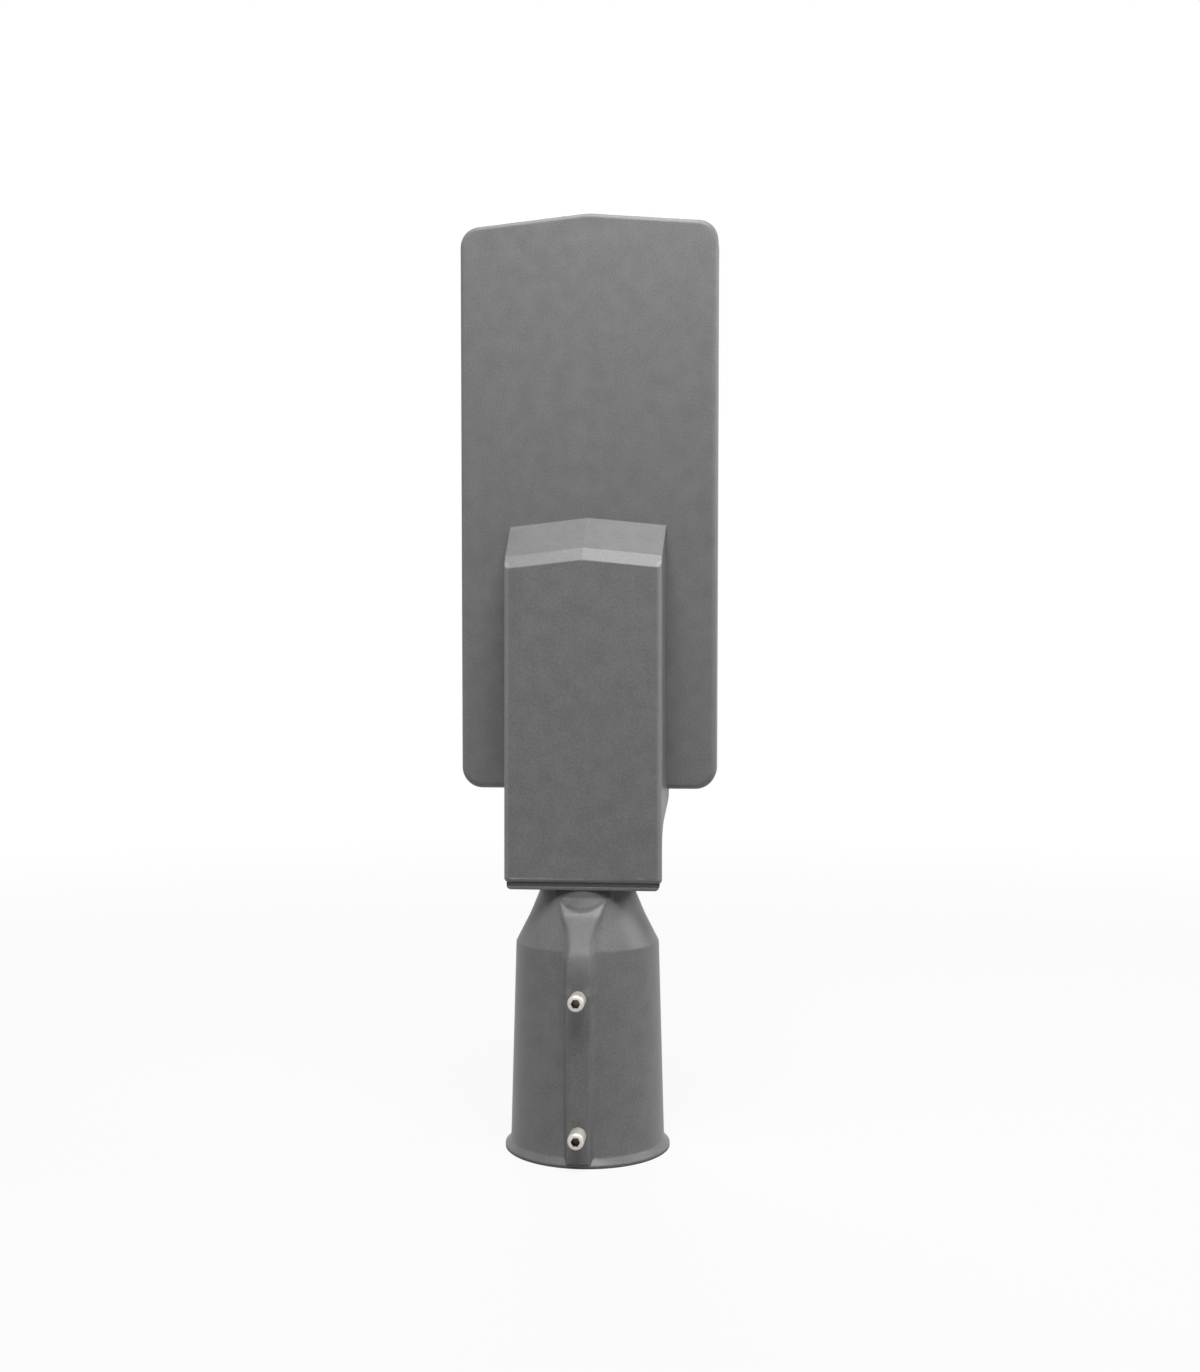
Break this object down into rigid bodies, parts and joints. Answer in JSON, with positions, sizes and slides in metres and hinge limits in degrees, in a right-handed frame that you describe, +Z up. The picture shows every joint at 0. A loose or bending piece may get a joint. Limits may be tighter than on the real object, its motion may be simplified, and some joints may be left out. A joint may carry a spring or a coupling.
{
  "type": "led street light head",
  "caption": "Slim street light head: flat light panel with a raised driver hood, neck and round pole socket with clamp screws on a rib.",
  "frame": {"origin": "centre of the pole socket's mouth", "axes": "+Z up the socket's axis towards the light panel, -Y towards the sky side with the hood and clamp screws, +Y towards the light side"},
  "size_m": [0.1304, 0.0923, 0.4666],
  "materials": {
    "coated_casting": "grey powder coat with a fine texture",
    "clamp_steel": "bright plated",
    "screw_steel": "stainless",
    "dark_rubber": "matt",
    "clear_lens": "clear polycarbonate",
    "white_board": "white solder mask on aluminium",
    "led_yellow": "phosphor",
    "pad_grey": "silicone pad",
    "white_plastic": "moulded",
    "black_plastic": "moulded",
    "driver_metal": "satin",
    "lead_red": "silicone sleeve",
    "lead_black": "silicone sleeve",
    "lead_brown": "sleeve",
    "lead_blue": "sleeve"
  },
  "bodies": {
    "root": {"housing": "coated_casting", "arm_casting": "coated_casting", "seam_gasket": "dark_rubber", "arm_bolts": "screw_steel", "arm_bolt_washers": "screw_steel", "clamp_screw_lower": "clamp_steel", "clamp_screw_upper": "clamp_steel", "thermal_pad": "pad_grey", "led_board": "white_board", "led_board_screws": "screw_steel", "led_chips": "led_yellow", "led_connector": "white_plastic", "lens_plate": "clear_lens", "lens_gasket": "dark_rubber", "lens_screws": "screw_steel", "gear_lid": "coated_casting", "gear_lid_gasket": "dark_rubber", "gear_lid_screws": "screw_steel", "driver_case": "driver_metal", "driver_lower_cap": "black_plastic", "driver_upper_cap": "black_plastic", "driver_screws": "screw_steel", "terminal_block": "white_plastic", "terminal_clamp_screws": "screw_steel", "terminal_block_screws": "screw_steel", "surge_protector": "black_plastic", "surge_protector_screw": "screw_steel", "gland_body": "black_plastic", "gland_washer": "dark_rubber", "gland_seal": "dark_rubber", "gland_dome_nut": "black_plastic", "gland_lock_nut": "black_plastic", "wire_grommet": "dark_rubber", "led_lead_plus": "lead_red", "led_lead_minus": "lead_black", "supply_lead_live": "lead_brown", "supply_lead_neutral": "lead_blue", "surge_lead_live": "lead_brown", "surge_lead_neutral": "lead_blue", "breather_vent": "black_plastic", "breather_seal": "dark_rubber", "earth_screw": "screw_steel"}
  },
  "joints": []
}
